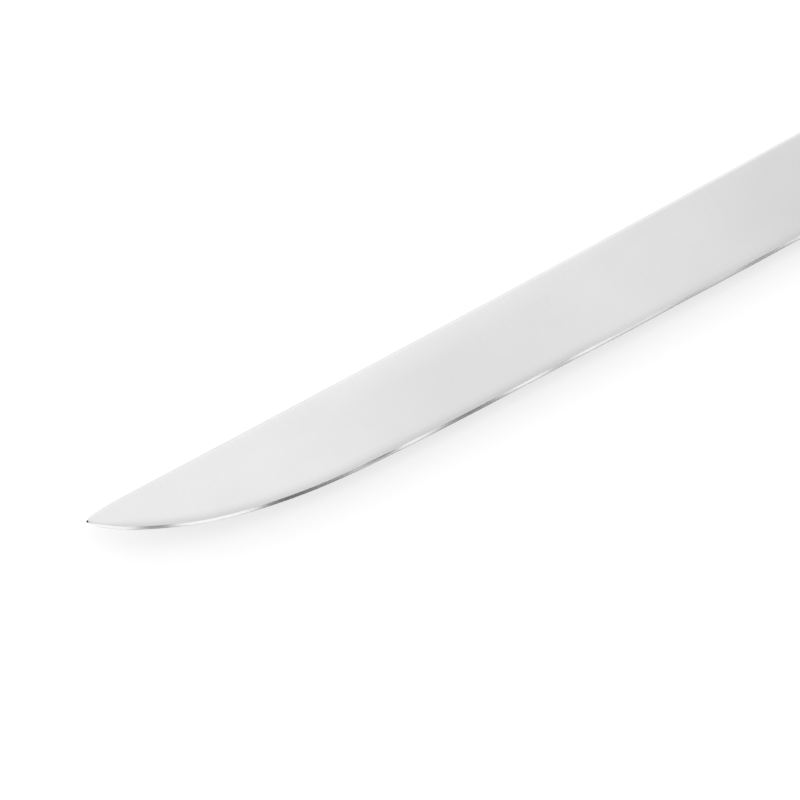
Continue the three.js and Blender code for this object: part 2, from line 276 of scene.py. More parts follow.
def keep_side(mesh, x, direction):
    """Cuts a closed mesh at x, keeps the side that direction points to, and closes the cut."""
    bm = bmesh.new()
    bm.from_mesh(mesh)
    cut = bmesh.ops.bisect_plane(
        bm,
        geom=bm.verts[:] + bm.edges[:] + bm.faces[:],
        dist=CUT_TOLERANCE,
        plane_co=(x, 0, 0),
        plane_no=(direction, 0, 0),
        clear_inner=True,
    )
    rim = [e for e in cut["geom_cut"] if isinstance(e, bmesh.types.BMEdge)]
    bmesh.ops.edgeloop_fill(bm, edges=rim)
    bmesh.ops.recalc_face_normals(bm, faces=bm.faces)
    bm.to_mesh(mesh)
    bm.free()
    return mesh


def combined(mesh, others, operation):
    """The mesh joined with or cut by the others, as a new mesh."""
    stand_ins = []
    for data in (mesh, *others):
        stand_in = bpy.data.objects.new("stand_in", data)
        bpy.context.scene.collection.objects.link(stand_in)
        stand_ins.append(stand_in)
    for other in stand_ins[1:]:
        step = stand_ins[0].modifiers.new("combine", "BOOLEAN")
        step.operation = operation
        step.solver = "EXACT"
        step.object = other
    graph = bpy.context.evaluated_depsgraph_get()
    result = bpy.data.meshes.new_from_object(stand_ins[0].evaluated_get(graph))
    for stand_in in stand_ins:
        bpy.data.objects.remove(stand_in)
    return result


def shade(mesh):
    """Smooth shading that breaks at sharp corners and where the finish changes."""
    bm = bmesh.new()
    bm.from_mesh(mesh)
    for face in bm.faces:
        face.smooth = True
    for edge in bm.edges:
        if len(edge.link_faces) == 2:
            one, two = edge.link_faces
            turn = edge.calc_face_angle(0)
            edge.smooth = turn < SHARP_ANGLE and one.material_index == two.material_index
    bm.to_mesh(mesh)
    bm.free()


def lay_grain(mesh):
    """Texture space along the knife and across it, so that brushing has a direction."""
    layer = mesh.uv_layers.get("grain") or mesh.uv_layers.new(name="grain")
    for loop in mesh.loops:
        co = mesh.vertices[loop.vertex_index].co
        layer.data[loop.index].uv = (co.x / HANDLE_LENGTH, (co.y + co.z) / HANDLE_LENGTH)


def dress(mesh, materials):
    for material in materials:
        mesh.materials.append(material)


def add_piece(name, mesh, materials, nodes, place=ORIGIN):
    shade(mesh)
    lay_grain(mesh)
    mesh.name = name
    if not mesh.materials:
        dress(mesh, materials)
    piece = bpy.data.objects.new(name, mesh)
    piece.location = place
    bpy.context.scene.collection.objects.link(piece)
    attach(piece, "root")
    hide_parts(*nodes)
    return piece


def break_edges(piece, width):
    """A small bevel on the sharp corners, which keeps the faces beside it flat."""
    step = piece.modifiers.new("break_edges", "BEVEL")
    step.width = width
    step.segments = BREAK_SEGMENTS
    step.limit_method = "ANGLE"
    step.angle_limit = BREAK_ANGLE
    step.harden_normals = True


# Blade

TIP_Y = SPINE_ABOVE_AXIS - TIP_DROOP - TIP_ROUND


def edge_curve():
    tip = np.array((0, TIP_Y - TIP_ROUND))
    belly_end = np.array((BELLY_LENGTH, SPINE_ABOVE_AXIS - BELLY_HEIGHT))
    heel = np.array((BLADE_LENGTH, SPINE_ABOVE_AXIS - HEEL_HEIGHT))
    leave = TIP_PULL * np.array((math.cos(TIP_ANGLE), -math.sin(TIP_ANGLE)))
    run = heel - belly_end
    reach = BELLY_PULL * run / np.linalg.norm(run)
    belly = bezier(tip, tip + leave, belly_end - reach, belly_end, BELLY_POINTS)
    return np.vstack((belly, heel))


EDGE = edge_curve()
HEEL_Y = EDGE[-1][1]
CHOIL_RISE = max(GUARD_FACE + GUARD_CORNER - GUARD_BELOW_AXIS - HEEL_Y, CHOIL_LENGTH / 2)


def smooth_step(value, low, high):
    t = min(1, max(0, (value - low) / (high - low)))
    return t * t * (3 - 2 * t)


def nose_at(from_tip):
    """What the round tip takes off the spine and the edge."""
    return TIP_ROUND - math.sqrt(TIP_ROUND ** 2 - max(0, TIP_ROUND - from_tip) ** 2)


def spine_at(from_tip):
    share = from_tip / BLADE_LENGTH
    droop = TIP_DROOP * max(0, 1 - from_tip / TIP_DROOP_LENGTH) ** 2
    return SPINE_ABOVE_AXIS - 4 * SPINE_SAG * share * (1 - share) - droop - nose_at(from_tip)


def bell(from_tip, middle, half_length):
    """A smooth hump from 0 to 1 and back, with its place behind the tip in millimetres."""
    away = min(1, abs(from_tip / MM - middle) / half_length)
    return (1 + math.cos(math.pi * away)) / 2


def edge_at(from_tip):
    worn = sum(height * MM * bell(from_tip, middle, half) for middle, half, height in EDGE_WAVES)
    return float(np.interp(from_tip, EDGE[:, 0], EDGE[:, 1])) + nose_at(from_tip) + worn


def bevel_share_at(from_tip):
    """The share of its slope that the bevel keeps in a section across the round tip, which it wraps."""
    return NOSE_BEVEL_SHARE + (1 - NOSE_BEVEL_SHARE) * smooth_step(from_tip, 0, NOSE_BEVEL_LENGTH)


def bevel_tilts(from_tip):
    """The bevel's tilt at its shoulder and at the edge."""
    shoulder = SHOULDER_TILT
    edge = EDGE_TILTS[0] + (EDGE_TILTS[1] - EDGE_TILTS[0]) * smooth_step(from_tip, *EDGE_TILT_CHANGES)
    for middle, half_length, at_shoulder, at_edge in BEVEL_FACETS:
        share = bell(from_tip, middle, half_length)
        shoulder += at_shoulder * share
        edge += at_edge * share
    return math.radians(shoulder), math.radians(edge)


# Where highlight and shade are painted on the ground faces: below the spine, above the edge, and in the
# middle behind the tip
SPINE_HIGHLIGHT_FADE = (0.2 * MM, 3.2 * MM)
SPINE_HIGHLIGHT_STARTS = (12 * MM, 28 * MM)
EDGE_SHADE_FADE = (0.5 * MM, 2.9 * MM)
EDGE_SHADE_WIDENS = (0, 9 * MM)
EDGE_SHADE_NARROWING = 0.7
EDGE_SHADE_STARTS = (-3 * MM, 5 * MM)
EDGE_SHADE_THINS = (95 * MM, 125 * MM)
EDGE_SHADE_THINNING = 0.5
MIDDLE_SHADE_STARTS = (38 * MM, 80 * MM)
MIDDLE_SHADE_ENDS = (90 * MM, 125 * MM)
MIDDLE_SHADE_FADE = (0.5 * MM, 7.5 * MM)

# Attributes holding the painted spine highlight, the painted middle shade and the painted edge shade
PAINTED_LIGHT_MARKS = ("rim", "cloud", "painted_edge_shade")

CROWN_FLAT_STEPS = 3
CROWN_ROUND_STEPS = 14
FACE_STEPS = 16
ROLL_STEPS = 9
BEVEL_STEPS = 8


def half_section(from_tip, tilt_place):
    """One side of the blade's section from the middle of the spine to the edge, as (y, z) points."""
    top = spine_at(from_tip)
    edge = edge_at(from_tip)
    height = top - edge
    along = from_tip / BLADE_LENGTH
    full_spine = SPINE_THICKNESS_TIP + (SPINE_THICKNESS_HEEL - SPINE_THICKNESS_TIP) * along
    ground = min(1, height / BELLY_HEIGHT)
    thinned = min(1, height / NOSE_BLEND)
    spine = thinned * (EDGE_THICKNESS + (full_spine - EDGE_THICKNESS) * ground) / 2
    shrink = min(1, height / TIP_BLEND)
    ease = min(SPINE_EASE * shrink, spine / 2)
    spine_roll = SPINE_ROLL * shrink
    bevel = BEVEL_WIDTH * min(1, height / BEVEL_BLEND)
    apex = APEX_WIDTH * shrink
    shoulder_tilt, edge_tilt = bevel_tilts(tilt_place)
    share = bevel_share_at(from_tip)
    bevel_y = [0, apex]
    bevel_z = [0, math.tan(APEX_TILT) * share * apex]
    step = (bevel - apex) / BEVEL_STEPS
    for i in range(BEVEL_STEPS):
        tilt = edge_tilt + (shoulder_tilt - edge_tilt) * (i + 0.5) / BEVEL_STEPS
        bevel_y.append(bevel_y[-1] + step)
        bevel_z.append(bevel_z[-1] + math.tan(tilt) * share * step)
    shoulder = bevel_z[-1]
    roll = ROLL_WIDTH * min(1, height / ROLL_BLEND)
    points = [(top, (spine - ease) * i / CROWN_FLAT_STEPS) for i in range(CROWN_FLAT_STEPS)]
    for i in range(CROWN_ROUND_STEPS + 1):
        angle = math.pi / 2 * i / CROWN_ROUND_STEPS
        points.append((top - spine_roll * (1 - math.cos(angle)), spine - ease * (1 - math.sin(angle))))
    face_top = top - spine_roll
    shoulder_y = edge + bevel
    face_height = max(face_top - shoulder_y - roll, LEAST_FACE_SHARE * height)
    lift = min(math.tan(ROLL_TURN) * shrink, (spine - shoulder) / roll)
    slope = (spine - shoulder - lift * roll / 2) / (face_height + roll)
    roll_top = shoulder + slope * roll + lift * roll / 2
    for i in range(1, FACE_STEPS + 1):
        t = i / FACE_STEPS
        points.append((face_top + (shoulder_y + roll - face_top) * t, spine + (roll_top - spine) * t))
    for i in range(1, ROLL_STEPS + 1):
        above = roll * (1 - i / ROLL_STEPS)
        rolled = lift * (above - above ** 2 / (2 * roll))
        points.append((shoulder_y + above, shoulder + slope * above + rolled))
    for i in range(BEVEL_STEPS, -1, -1):
        points.append((edge + bevel_y[i], bevel_z[i]))
    return np.array(points)


def cut_at(half, floor):
    """Cuts a half section off level at a height, with the cut running in to the middle."""
    y, z = half[:, 0].copy(), half[:, 1].copy()
    under = np.nonzero(y < floor)[0]
    if len(under) < 2:
        return half
    width = float(np.interp(-floor, -y, z))
    y[under] = floor
    z[under] = width * (1 - np.arange(len(under)) / (len(under) - 1))
    return np.column_stack((y, z))


def burr_at(from_tip, y, z):
    """How far the speck of burr at the very point stands out of the round tip."""
    away = math.hypot(from_tip, y - TIP_Y - BURR_RISE, z)
    return BURR_LENGTH * (1 - smooth_step(away, BURR_CORE, BURR_REACH))


def blade_mesh():
    clear = BLADE_LENGTH - CHOIL_LENGTH
    stations = []
    for i in range(1, BLADE_STATIONS + 1):
        stations.append((clear * (i / BLADE_STATIONS) ** STATION_CROWDING, None))
    for i in range(1, CHOIL_STATIONS + 1):
        angle = math.pi / 2 * i / CHOIL_STATIONS
        from_tip = BLADE_LENGTH - CHOIL_LENGTH * math.cos(angle)
        stations.append((from_tip, HEEL_Y + CHOIL_RISE * math.sin(angle)))
    rings = []
    for from_tip, floor in stations:
        left = half_section(from_tip, from_tip)
        right = half_section(from_tip, from_tip + RIGHT_BEVEL_SHIFT)
        if floor is not None:
            left = cut_at(left, floor)
            right = cut_at(right, floor)
        outline = [(y, z) for y, z in left] + [(y, -z) for y, z in right[-2:0:-1]]
        x = from_tip - BLADE_LENGTH
        rings.append([(x - burr_at(from_tip, y, z), y, z) for y, z in outline])
    root = [(COVE_LENGTH / 2, y * ROOT_HEIGHT, z * ROOT_THICKNESS) for x, y, z in rings[-1]]
    rings.append(root)
    count = len(rings[0])
    half = len(half_section(BLADE_LENGTH, BLADE_LENGTH))
    points = [(-BLADE_LENGTH - BURR_LENGTH, TIP_Y + BURR_RISE / 2, 0)]
    for ring in rings:
        points.extend(ring)
    spine_steps = CROWN_FLAT_STEPS + CROWN_ROUND_STEPS // 2
    bevel_from = half - 2 - BEVEL_STEPS
    faces = []
    finish = []
    for i in range(count):
        j = (i + 1) % count
        step = i if i < half - 1 else 2 * (half - 1) - 1 - i
        look = 1 if step < spine_steps else 2 if step >= bevel_from else 0
        faces.append((0, 1 + i, 1 + j))
        finish.append(look)
        for ring in range(len(rings) - 1):
            near = 1 + ring * count
            far = near + count
            faces.append((near + i, far + i, far + j, near + j))
            finish.append(look)
    last = 1 + (len(rings) - 1) * count
    faces.append(tuple(range(last, last + count)))
    finish.append(0)
    mesh = mesh_from("blade", points, faces)
    mesh.polygons.foreach_set("material_index", finish)
    face_outwards(mesh)
    return mesh


def mark_painted_light(mesh):
    """How much of each painted mark a point has, from 0 to 1: the painted highlight along the spine, the
    painted shade over the middle, and the painted shade beside the edge."""
    rim, cloud, painted_edge_shade = (mesh.attributes.new(name, "FLOAT", "POINT") for name in PAINTED_LIGHT_MARKS)
    for v in mesh.vertices:
        from_tip = min(max(v.co.x + BLADE_LENGTH, 0), BLADE_LENGTH)
        below_spine = spine_at(from_tip) - v.co.y
        # Painted highlight below the spine
        painted_spine_highlight = 1 - smooth_step(below_spine, *SPINE_HIGHLIGHT_FADE)
        rim.data[v.index].value = painted_spine_highlight * smooth_step(from_tip, *SPINE_HIGHLIGHT_STARTS)
        # Painted shade over the middle of the face, away from the spine
        clouded = min(smooth_step(from_tip, *MIDDLE_SHADE_STARTS), 1 - smooth_step(from_tip, *MIDDLE_SHADE_ENDS))
        cloud.data[v.index].value = clouded * smooth_step(below_spine, *MIDDLE_SHADE_FADE)
        # Painted shade just above the edge
        low, high = EDGE_SHADE_FADE
        high -= EDGE_SHADE_NARROWING * (high - low) * (1 - smooth_step(from_tip, *EDGE_SHADE_WIDENS))
        painted_shade_near_edge = 1 - smooth_step(v.co.y - edge_at(from_tip), low, high)
        thinned = EDGE_SHADE_THINNING * smooth_step(from_tip, *EDGE_SHADE_THINS)
        amount = smooth_step(from_tip, *EDGE_SHADE_STARTS) - thinned
        painted_edge_shade.data[v.index].value = painted_shade_near_edge * amount


# Handle

def swell(points, x, y):
    """A smooth S from the last point to the next hollow or swell, level at both ends."""
    x0, y0 = points[-1]
    middle = (x0 + x) / 2
    curve = bezier((x0, y0), (middle, y0), (middle, y), (x, y), SWELL_POINTS)
    points.extend(tuple(p) for p in curve[1:])


def quarter(points, centre_x, centre_y, radius_x, radius_y, start):
    for i in range(1, SWELL_POINTS + 1):
        angle = start + math.pi / 2 * i / SWELL_POINTS
        points.append((centre_x + radius_x * math.cos(angle), centre_y + radius_y * math.sin(angle)))


def handle_outline():
    """The handle seen from the side, run on straight ahead of the bolster's front face."""
    butt = (HEAD_ABOVE_AXIS - BEAK_BELOW_AXIS) / 2
    points = [(-COVE_LENGTH, -GUARD_BELOW_AXIS), (0, -GUARD_BELOW_AXIS)]
    points.append((GUARD_FROM_FRONT, -GUARD_BELOW_AXIS))
    swell(points, GROOVE_FROM_FRONT, -GROOVE_BELOW_AXIS)
    swell(points, PALM_FROM_FRONT, -PALM_BELOW_AXIS)
    swell(points, HANDLE_LENGTH - WAIST_FROM_BUTT, -WAIST_BELOW_AXIS)
    swell(points, HANDLE_LENGTH - BEAK_FROM_BUTT, -BEAK_BELOW_AXIS)
    beak = HANDLE_LENGTH - BEAK_FROM_BUTT
    head = HANDLE_LENGTH - HEAD_FROM_BUTT
    quarter(points, beak, butt, BEAK_FROM_BUTT, butt + BEAK_BELOW_AXIS, -math.pi / 2)
    quarter(points, head, butt, HEAD_FROM_BUTT, HEAD_ABOVE_AXIS - butt, 0)
    swell(points, HANDLE_LENGTH - DIP_FROM_BUTT, DIP_ABOVE_AXIS)
    swell(points, CROWN_FROM_FRONT, CROWN_ABOVE_AXIS)
    swell(points, 0, SPINE_ABOVE_AXIS)
    points.append((-COVE_LENGTH, SPINE_ABOVE_AXIS))
    return np.array(points)


OUTLINE = handle_outline()


def inset(outline, distance):
    """The outline moved inwards, with its two front ends kept in their plane."""
    along = np.gradient(outline, axis=0)
    along /= np.linalg.norm(along, axis=1)[:, None]
    inward = np.column_stack((-along[:, 1], along[:, 0]))
    return outline + inward * distance


def handle_half_mesh(side):
    """One half of the handle above the tang, with its rounded edge, before it is parted."""
    wall = HANDLE_HALF - EDGE_ROUND_DEEP
    levels = [(0, TANG_HALF), (0, (TANG_HALF + wall) / 2)]
    for i in range(ROUND_RINGS + 1):
        angle = math.pi / 2 * i / ROUND_RINGS
        levels.append((EDGE_ROUND_IN * (1 - math.cos(angle)), wall + EDGE_ROUND_DEEP * math.sin(angle)))
    levels.append((EDGE_ROUND_IN * FLAT_RIM_SHARE, HANDLE_HALF))
    count = len(OUTLINE)
    points = []
    for distance, z in levels:
        points.extend((x, y, side * z) for x, y in inset(OUTLINE, distance))
    faces = []
    for level in range(len(levels) - 1):
        low = level * count
        high = low + count
        for i in range(count - 1):
            faces.append((low + i, low + i + 1, high + i + 1, high + i))
    starts = [level * count for level in range(len(levels))]
    ends = [start + count - 1 for start in starts]
    faces.append(tuple(starts + ends[::-1]))
    faces.append(tuple(range(starts[0], ends[0] + 1)))
    faces.append(tuple(range(starts[-1], ends[-1] + 1)))
    mesh = mesh_from("handle_half", points, faces)
    face_outwards(mesh)
    return mesh


def corner_cutter():
    """What is taken off to round the guard's lower front corner."""
    low = -GUARD_BELOW_AXIS
    outline = [(-COVE_LENGTH, low - COVE_LENGTH), (GUARD_CORNER, low - COVE_LENGTH)]
    for i in range(SWELL_POINTS + 1):
        angle = -math.pi / 2 - math.pi / 2 * i / SWELL_POINTS
        x = GUARD_CORNER * (1 + math.cos(angle))
        outline.append((x, low + GUARD_CORNER * (1 + math.sin(angle))))
    outline.append((-COVE_LENGTH, low + GUARD_CORNER))
    return prism_mesh("corner_cutter", outline, -REACH, REACH)


def cove_cutter(side):
    """The hollow that sweeps the bolster's front down to a thin lip on the blade."""
    depth = HANDLE_HALF - TANG_HALF - BOLSTER_LIP
    points = []
    for y in (-REACH, REACH):
        for i in range(COVE_SEGMENTS):
            angle = 2 * math.pi * i / COVE_SEGMENTS
            z = side * HANDLE_HALF + depth * math.sin(angle)
            points.append((COVE_LENGTH * math.cos(angle), y, z))
    faces = [tuple(range(COVE_SEGMENTS)), tuple(range(COVE_SEGMENTS, 2 * COVE_SEGMENTS))]
    for i in range(COVE_SEGMENTS):
        j = (i + 1) % COVE_SEGMENTS
        faces.append((i, j, COVE_SEGMENTS + j, COVE_SEGMENTS + i))
    mesh = mesh_from("cove_cutter", points, faces)
    face_outwards(mesh)
    return mesh


def bar_cutter(diameter, place, z_low, z_high):
    radius = diameter / 2 + FIT_CLEARANCE
    profile = [(0, z_low), (radius, z_low), (radius, z_high), (0, z_high)]
    return moved(turned_mesh("bar_cutter", profile), *place)


def seat_cutter(place, side):
    """A rivet's clear hole through a scale with the seat for its head."""
    seat = side * (HANDLE_HALF - RIVET_HEAD_HEIGHT)
    shank = SOCKET_DIAMETER / 2 + FIT_CLEARANCE
    head = RIVET_HEAD_DIAMETER / 2 + FIT_CLEARANCE
    far = side * HANDLE_HALF * 2
    profile = [(0, 0), (shank, 0), (shank, seat), (head, seat), (head, far), (0, far)]
    return moved(turned_mesh("seat_cutter", profile), *place)


def tang_mesh():
    mesh = prism_mesh("tang", OUTLINE, -TANG_HALF, TANG_HALF)
    mesh = combined(keep_side(mesh, 0, 1), [corner_cutter()], "DIFFERENCE")
    mesh.polygons.foreach_set("material_index", [1] * len(mesh.polygons))
    return mesh


# Finishes

# Tones of the blade's marked parts against its ground faces: painted highlight by the spine, painted
# shade by the edge and mid-face, painted dark reflection at the point
SPINE_HIGHLIGHT_TONE = 1.02
EDGE_SHADE_TONE = 0.84
MIDDLE_SHADE_TONE = 0.94
TIP_SHADE_TONE = 0.02

# Steel: how much of its tone comes from the brushing and how much from a faint mottle, whose grain is
# per metre along X, Y and Z, and which part of the noise is used
BRUSHING_SHARE = 0.6
MOTTLE_SHARE = 0.4
MOTTLE_GRAIN = (45, 70, 70)
TONE_RANGE = (0.35, 0.65)
GLOSS_RANGE = (0.3, 0.7)

# Plastic: grains per metre along X, Y and Z, tones, and roughness
PEBBLE_GRAIN = (2600, 2600, 2600)
PEBBLE_RANGE = (0.32, 0.68)
PEBBLE_DEPTH = 14e-6
PEBBLE_STRENGTH = 0.6
RUBBED_GRAIN = (120, 2400, 2400)
RUBBED_RANGE = (0.35, 0.7)
RUBBED_TONES = (0.75, 1.3)
CLOUDED_GRAIN = (90, 140, 140)
CLOUDED_RANGE = (0.3, 0.7)
CLOUDED_TONES = (0.8, 1.2)
PLASTIC_DARK = (0.007, 0.007, 0.007, 1)
PLASTIC_LIGHT = (0.027, 0.027, 0.028, 1)
PLASTIC_IOR = 1.48
PLASTIC_GLOSS = (0.4, 0.56)
WORN_FACING = (0.55, 0.98)
WORN_GLOSS = (0.72, 1)

# Rivets and pins: rings and scratches per metre
RING_SCALE = 900.0
RING_DISTORTION = 1.5
RING_DETAIL = 2.0
RING_TONES = (0.93, 1)
RING_GLOSS = (0.22, 0.3)
SCRATCH_GRAIN = (260, 3600, 260)
SCRATCH_RANGE = (0.32, 0.68)
SCRATCH_TONES = (0.60, 0.82)
SCRATCH_DEPTH = 1.6e-6


def new_material(name):
    material = bpy.data.materials.new(name)
    material.use_nodes = True
    tree = material.node_tree
    return material, tree, tree.nodes["Principled BSDF"]


def add_node(tree, kind, values=None, **settings):
    node = tree.nodes.new(kind)
    for key, value in settings.items():
        setattr(node, key, value)
    for key, value in (values or {}).items():
        socket = node.inputs[key]
        if isinstance(value, bpy.types.NodeSocket):
            tree.links.new(value, socket)
        else:
            socket.default_value = value
    return node


def grey(value):
    return (value, value, value, 1)


def object_noise(tree, scale, detail=3.0, roughness=0.6):
    """Noise in the piece's own space, with its own grain size along each axis, per metre."""
    coordinates = add_node(tree, "ShaderNodeTexCoord")
    values = {"Vector": coordinates.outputs["Object"], "Scale": scale}
    stretch = add_node(tree, "ShaderNodeMapping", values)
    values = {"Vector": stretch.outputs[0], "Scale": 1.0, "Detail": detail, "Roughness": roughness}
    return add_node(tree, "ShaderNodeTexNoise", values).outputs["Fac"]


def spread(tree, value, low, high, to_low, to_high):
    values = {"Value": value, "From Min": low, "From Max": high, "To Min": to_low, "To Max": to_high}
    return add_node(tree, "ShaderNodeMapRange", values).outputs["Result"]


def multiplied(tree, one, two):
    values = {0: one, 1: two}
    return add_node(tree, "ShaderNodeVectorMath", values, operation="MULTIPLY").outputs[0]


def tint(tree, factor, dark, light):
    node = add_node(tree, "ShaderNodeMix", data_type="RGBA")
    tree.links.new(factor, node.inputs[0])
    node.inputs[6].default_value = dark
    node.inputs[7].default_value = light
    return node.outputs[2]


def bumped(tree, height, depth, strength=1.0):
    values = {"Height": height, "Distance": depth, "Strength": strength}
    return add_node(tree, "ShaderNodeBump", values).outputs["Normal"]


def along_knife(tree):
    return add_node(tree, "ShaderNodeTangent", direction_type="UV_MAP", uv_map="grain").outputs[0]


def brushed_steel(name, lines, tone, gloss, anisotropy, depth, tonings=()):
    """Steel brushed in one direction: lines gives the grain per metre along X, Y and Z."""
    material, tree, shader = new_material(name)
    brushing = object_noise(tree, lines, detail=4.0, roughness=0.7)
    mottle = object_noise(tree, MOTTLE_GRAIN, detail=2.0, roughness=0.5)
    faded = add_node(tree, "ShaderNodeMath", {0: mottle, 1: MOTTLE_SHARE}, operation="MULTIPLY")
    values = {0: brushing, 1: BRUSHING_SHARE, 2: faded.outputs[0]}
    mixed = add_node(tree, "ShaderNodeMath", values, operation="MULTIPLY_ADD").outputs[0]
    shader.inputs["Metallic"].default_value = 1.0
    shader.inputs["Anisotropic"].default_value = anisotropy
    colour = tint(tree, spread(tree, mixed, *TONE_RANGE, 0, 1), grey(tone[0]), grey(tone[1]))
    # The tonings multiply painted highlight and painted shade into the colour
    for toning in tonings:
        colour = multiplied(tree, colour, toning(tree))
    tree.links.new(colour, shader.inputs["Base Color"])
    tree.links.new(spread(tree, brushing, *GLOSS_RANGE, *gloss), shader.inputs["Roughness"])
    tree.links.new(bumped(tree, brushing, depth), shader.inputs["Normal"])
    tree.links.new(along_knife(tree), shader.inputs["Tangent"])
    return material


def marked(tree, name, tone):
    """The tone of a part of the mesh that is marked with an attribute from 0 to 1."""
    share = add_node(tree, "ShaderNodeAttribute", attribute_name=name).outputs["Fac"]
    return spread(tree, share, 0, 1, 1, tone)


# Painted highlight along the spine
def painted_spine_highlight(tree):
    return marked(tree, "rim", SPINE_HIGHLIGHT_TONE)


# Painted shade above the edge
def painted_shade_near_edge(tree):
    return marked(tree, "painted_edge_shade", EDGE_SHADE_TONE)


# Painted shade over the middle of the face
def painted_middle_shade(tree):
    return marked(tree, "cloud", MIDDLE_SHADE_TONE)


def painted_tip_shade(tree):
    """A painted dark reflection at the very point, on the speck of burr."""
    coordinates = add_node(tree, "ShaderNodeTexCoord")
    point = (-BLADE_LENGTH - TIP_SHADE_FORWARD, TIP_Y + BURR_RISE, 0)
    values = {0: coordinates.outputs["Object"], 1: point}
    distance = add_node(tree, "ShaderNodeVectorMath", values, operation="DISTANCE").outputs["Value"]
    return spread(tree, distance, *TIP_SHADE_FADE, TIP_SHADE_TONE, 1.0)


def satin_blade():
    """The ground faces: brushed across, with a painted highlight along the spine, painted shade above
    the bevel and mid-face, and a painted dark reflection at the point.
    """
    return brushed_steel(
        "satin_blade",
        lines=(5200, 160, 160),
        tone=(0.775, 0.823),
        gloss=(0.29, 0.36),
        anisotropy=0.6,
        depth=1.2e-6,
        tonings=(painted_spine_highlight, painted_shade_near_edge, painted_middle_shade, painted_tip_shade),
    )


def polished_bevel():
    return brushed_steel(
        "polished_bevel",
        lines=(260, 9000, 9000),
        tone=(0.91, 0.95),
        gloss=(0.18, 0.22),
        anisotropy=0.0,
        depth=0.1e-6,
        # The painted dark reflection at the very point
        tonings=(painted_tip_shade,),
    )


def satin_spine():
    return brushed_steel(
        "satin_spine",
        lines=(160, 7000, 7000),
        tone=(0.76, 0.88),
        gloss=(0.26, 0.36),
        anisotropy=0.3,
        depth=0.8e-6,
        # The painted dark reflection at the very point
        tonings=(painted_tip_shade,),
    )


def bolster_steel():
    return brushed_steel(
        "bolster_steel",
        lines=(3800, 130, 130),
        tone=(0.58, 0.68),
        gloss=(0.36, 0.46),
        anisotropy=0.4,
        depth=0.8e-6,
    )


def black_plastic():
    """Moulded black plastic: a fine pebbled skin, sanding lines along the handle, edges worn smooth."""
    material, tree, shader = new_material("black_plastic")
    pebble = object_noise(tree, PEBBLE_GRAIN)
    lines = object_noise(tree, RUBBED_GRAIN)
    cloud = object_noise(tree, CLOUDED_GRAIN, roughness=0.55)
    shader.inputs["Metallic"].default_value = 0.0
    shader.inputs["IOR"].default_value = PLASTIC_IOR
    dusty = tint(tree, spread(tree, pebble, *PEBBLE_RANGE, 0, 1), PLASTIC_DARK, PLASTIC_LIGHT)
    rubbed = tint(tree, spread(tree, lines, *RUBBED_RANGE, 0, 1), *map(grey, RUBBED_TONES))
    clouded = tint(tree, spread(tree, cloud, *CLOUDED_RANGE, 0, 1), *map(grey, CLOUDED_TONES))
    colour = multiplied(tree, multiplied(tree, dusty, rubbed), clouded)
    tree.links.new(colour, shader.inputs["Base Color"])
    coordinates = add_node(tree, "ShaderNodeTexCoord")
    facing = add_node(tree, "ShaderNodeSeparateXYZ", {0: coordinates.outputs["Normal"]})
    upright = add_node(tree, "ShaderNodeMath", {0: facing.outputs["Z"]}, operation="ABSOLUTE").outputs[0]
    worn = spread(tree, upright, *WORN_FACING, *WORN_GLOSS)
    skin = spread(tree, pebble, *GLOSS_RANGE, *PLASTIC_GLOSS)
    gloss = add_node(tree, "ShaderNodeMath", {0: skin, 1: worn}, operation="MULTIPLY").outputs[0]
    tree.links.new(gloss, shader.inputs["Roughness"])
    tree.links.new(bumped(tree, pebble, PEBBLE_DEPTH, PEBBLE_STRENGTH), shader.inputs["Normal"])
    return material


def turned_steel():
    """Steel dressed flush: fine rings about its own axis, under sanding lines along the handle."""
    material, tree, shader = new_material("turned_steel")
    coordinates = add_node(tree, "ShaderNodeTexCoord")
    values = {
        "Vector": coordinates.outputs["Object"],
        "Scale": RING_SCALE,
        "Distortion": RING_DISTORTION,
        "Detail": RING_DETAIL,
    }
    wave = add_node(tree, "ShaderNodeTexWave", values, wave_type="RINGS", rings_direction="Z")
    rings = wave.outputs["Fac"]
    scratches = object_noise(tree, SCRATCH_GRAIN, detail=2.0, roughness=0.5)
    shader.inputs["Metallic"].default_value = 1.0
    ringed = spread(tree, rings, 0, 1, *RING_TONES)
    lined = tint(tree, spread(tree, scratches, *SCRATCH_RANGE, 0, 1), *map(grey, SCRATCH_TONES))
    tree.links.new(multiplied(tree, lined, ringed), shader.inputs["Base Color"])
    tree.links.new(spread(tree, rings, 0, 1, *RING_GLOSS), shader.inputs["Roughness"])
    tree.links.new(bumped(tree, scratches, SCRATCH_DEPTH), shader.inputs["Normal"])
    return material


BLADE_LOOK = satin_blade()
BEVEL_LOOK = polished_bevel()
SPINE_LOOK = satin_spine()
BOLSTER_LOOK = bolster_steel()
PLASTIC_LOOK = black_plastic()
TURNED_LOOK = turned_steel()


# Pieces

tang_holes = [bar_cutter(SOCKET_DIAMETER, place, -REACH, REACH) for place in rivet_places.values()]
pin_holes = [bar_cutter(PIN_DIAMETER, place, -REACH, REACH) for place in pin_places.values()]
BLADE_LOOKS = (BLADE_LOOK, SPINE_LOOK, BEVEL_LOOK)
blade = blade_mesh()
tang = tang_mesh()
dress(blade, BLADE_LOOKS)
dress(tang, BLADE_LOOKS)
blade = combined(blade, [tang], "UNION")
blade = combined(blade, tang_holes + pin_holes, "DIFFERENCE")
# Marks where highlight and shade are painted on the blade
mark_painted_light(blade)
add_piece("ground_blade", blade, BLADE_LOOKS, ("blade",))

